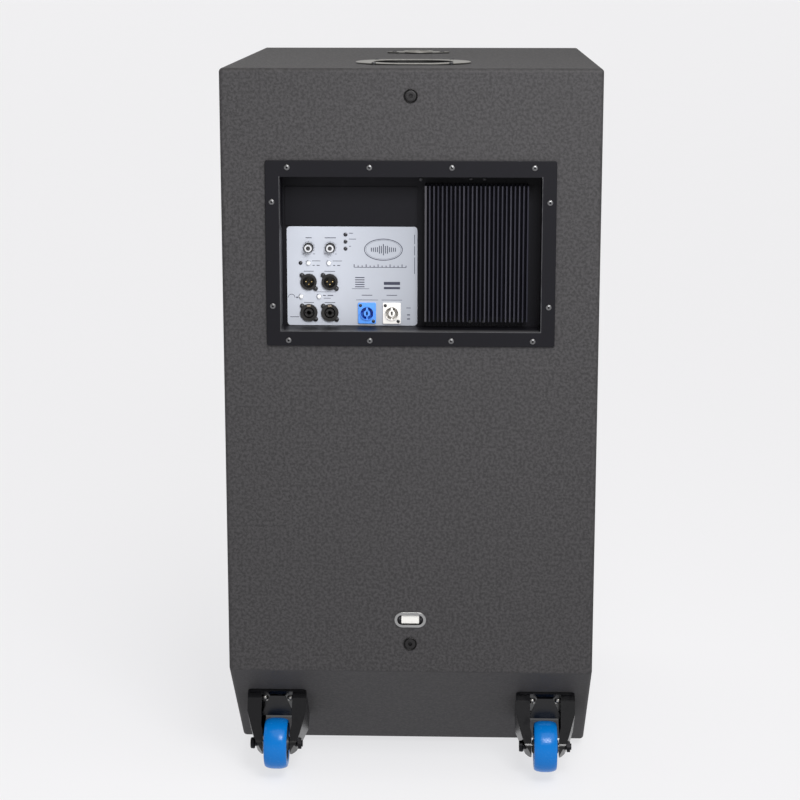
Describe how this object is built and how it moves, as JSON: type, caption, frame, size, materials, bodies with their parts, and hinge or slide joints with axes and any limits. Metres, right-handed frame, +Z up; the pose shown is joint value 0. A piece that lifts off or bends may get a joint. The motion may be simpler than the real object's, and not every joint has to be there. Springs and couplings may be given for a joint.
{
  "type": "powered subwoofer",
  "caption": "Tall self-powered subwoofer cabinet with a recessed amplifier panel, top bar handle, pole socket and fixed tilt wheels on a rear bevel.",
  "frame": {"origin": "middle of the whole object's footprint, on the floor", "axes": "+Z up, +Y out of the back (amplifier side), +X to the left seen from the back; the grille faces -Y"},
  "size_m": [0.5682, 0.692, 1.1163],
  "materials": {
    "cabinet_paint": "textured dark paint on birch plywood",
    "plywood": "bare birch plywood",
    "plywood_black": "black stained plywood",
    "frame_black": "black powder coat",
    "plate_silver": "satin silver-blue paint",
    "sink_black": "black anodised",
    "gasket_rubber": "soft foam rubber",
    "screw_grey": "blackened steel",
    "screw_black": "blackened steel",
    "housing_steel": "zinc-plated sheet",
    "board_green": "circuit board",
    "transformer_tape": "taped ring core",
    "socket_black": "black moulding",
    "pin_gold": "gold plated",
    "latch_metal": "stamped metal",
    "inlet_blue": "blue moulding",
    "outlet_grey": "grey-white moulding",
    "knob_grey": "soft-touch moulding",
    "button_white": "white moulding",
    "light_lens": "dark lens",
    "basket_black": "black paint on a casting",
    "magnet_steel": "black plated",
    "cone_paper": "coated paper",
    "suspension_cloth": "doped cloth",
    "grille_black": "black powder coat",
    "foam_black": "open foam",
    "handle_metal": "satin grey powder coat",
    "bar_metal": "satin",
    "dish_metal": "satin",
    "name_white": "white enamel",
    "foot_rubber": "moulded rubber",
    "fork_black": "gloss black coat",
    "bolt_zinc": "zinc plated",
    "tyre_blue": "elastic blue tyre",
    "hub_grey": "moulded nylon"
  },
  "bodies": {
    "cabinet": {"amplifier_frame": "frame_black", "amplifier_frame_screws": "screw_grey", "amplifier_gasket": "gasket_rubber", "amplifier_housing": "housing_steel", "back_panel": "cabinet_paint", "bevel_panel": "cabinet_paint", "blank_plate": "frame_black", "bottom_panel": "cabinet_paint", "brace": "plywood", "cabinet_screws": "screw_black", "caster_bolts": "bolt_zinc", "caster_fork_left": "fork_black", "caster_fork_right": "fork_black", "control_plate": "plate_silver", "front_baffle": "plywood_black", "grille": "grille_black", "grille_blocks": "plywood_black", "grille_foam": "foam_black", "handle_bars": "bar_metal", "heatsink": "sink_black", "input_board": "board_green", "input_sockets": "socket_black", "link_sockets": "socket_black", "mains_inlet": "inlet_blue", "mains_outlet": "outlet_grey", "name_dish": "dish_metal", "name_plate": "name_white", "panel_screws": "screw_black", "pole_socket": "handle_metal", "port_shelves": "plywood", "power_board": "board_green", "rigging_screws": "screw_black", "rubber_feet": "foot_rubber", "side_handles": "handle_metal", "side_panel_left": "cabinet_paint", "side_panel_right": "cabinet_paint", "socket_pins": "pin_gold", "status_lights": "light_lens", "suspension_lower": "suspension_cloth", "suspension_upper": "suspension_cloth", "top_handle": "handle_metal", "top_panel": "cabinet_paint", "transformer": "transformer_tape", "woofer_baskets": "basket_black", "woofer_magnets": "magnet_steel", "woofer_screws": "screw_black"},
    "wheel_left": {"tyre_left": "tyre_blue", "wheel_hub_left": "hub_grey"},
    "wheel_right": {"tyre_right": "tyre_blue", "wheel_hub_right": "hub_grey"},
    "gain_knob": {"gain_knob": "knob_grey"},
    "filter_knob": {"filter_knob": "knob_grey"},
    "button_phase": {"button_phase": "button_white"},
    "button_ground": {"button_ground": "button_white"},
    "button_delay": {"button_delay": "button_white"},
    "button_link": {"button_link": "button_white"},
    "latch_left": {"latch_left": "latch_metal"},
    "latch_right": {"latch_right": "latch_metal"},
    "cone_lower": {"cone_lower": "cone_paper"},
    "cone_upper": {"cone_upper": "cone_paper"}
  },
  "joints": [
    {"name": "wheel_left_spin", "type": "hinge", "parent": "cabinet", "child": "wheel_left", "pos_m": [0.211, 0.30495, 0.0567], "axis": [1, 0, 0], "continuous": true},
    {"name": "wheel_right_spin", "type": "hinge", "parent": "cabinet", "child": "wheel_right", "pos_m": [-0.211, 0.30495, 0.0567], "axis": [1, 0, 0], "continuous": true},
    {"name": "gain_knob_turn", "type": "hinge", "parent": "cabinet", "child": "gain_knob", "pos_m": [0.1543, 0.29535, 0.843], "axis": [0, 1, 0], "range_deg": [-150, 150]},
    {"name": "filter_knob_turn", "type": "hinge", "parent": "cabinet", "child": "filter_knob", "pos_m": [0.1217, 0.29535, 0.843], "axis": [0, 1, 0], "range_deg": [-150, 150]},
    {"name": "button_phase_press", "type": "slide", "parent": "cabinet", "child": "button_phase", "axis": [0, -1, 0], "range_m": [0, 0.0015], "stiffness_N_per_m": 400},
    {"name": "button_ground_press", "type": "slide", "parent": "cabinet", "child": "button_ground", "axis": [0, -1, 0], "range_m": [0, 0.0015], "stiffness_N_per_m": 400},
    {"name": "button_delay_press", "type": "slide", "parent": "cabinet", "child": "button_delay", "axis": [0, -1, 0], "range_m": [0, 0.0015], "stiffness_N_per_m": 400},
    {"name": "button_link_press", "type": "slide", "parent": "cabinet", "child": "button_link", "axis": [0, -1, 0], "range_m": [0, 0.0015], "stiffness_N_per_m": 400},
    {"name": "latch_left_press", "type": "slide", "parent": "cabinet", "child": "latch_left", "axis": [0, 0, -1], "range_m": [0, 0.001], "stiffness_N_per_m": 400},
    {"name": "latch_right_press", "type": "slide", "parent": "cabinet", "child": "latch_right", "axis": [0, 0, -1], "range_m": [0, 0.001], "stiffness_N_per_m": 400},
    {"name": "cone_lower_travel", "type": "slide", "parent": "cabinet", "child": "cone_lower", "axis": [0, -1, 0], "range_m": [-0.008, 0.008], "stiffness_N_per_m": 6000, "deforming": ["suspension_lower"]},
    {"name": "cone_upper_travel", "type": "slide", "parent": "cabinet", "child": "cone_upper", "axis": [0, -1, 0], "range_m": [-0.008, 0.008], "stiffness_N_per_m": 6000, "deforming": ["suspension_upper"]}
  ]
}
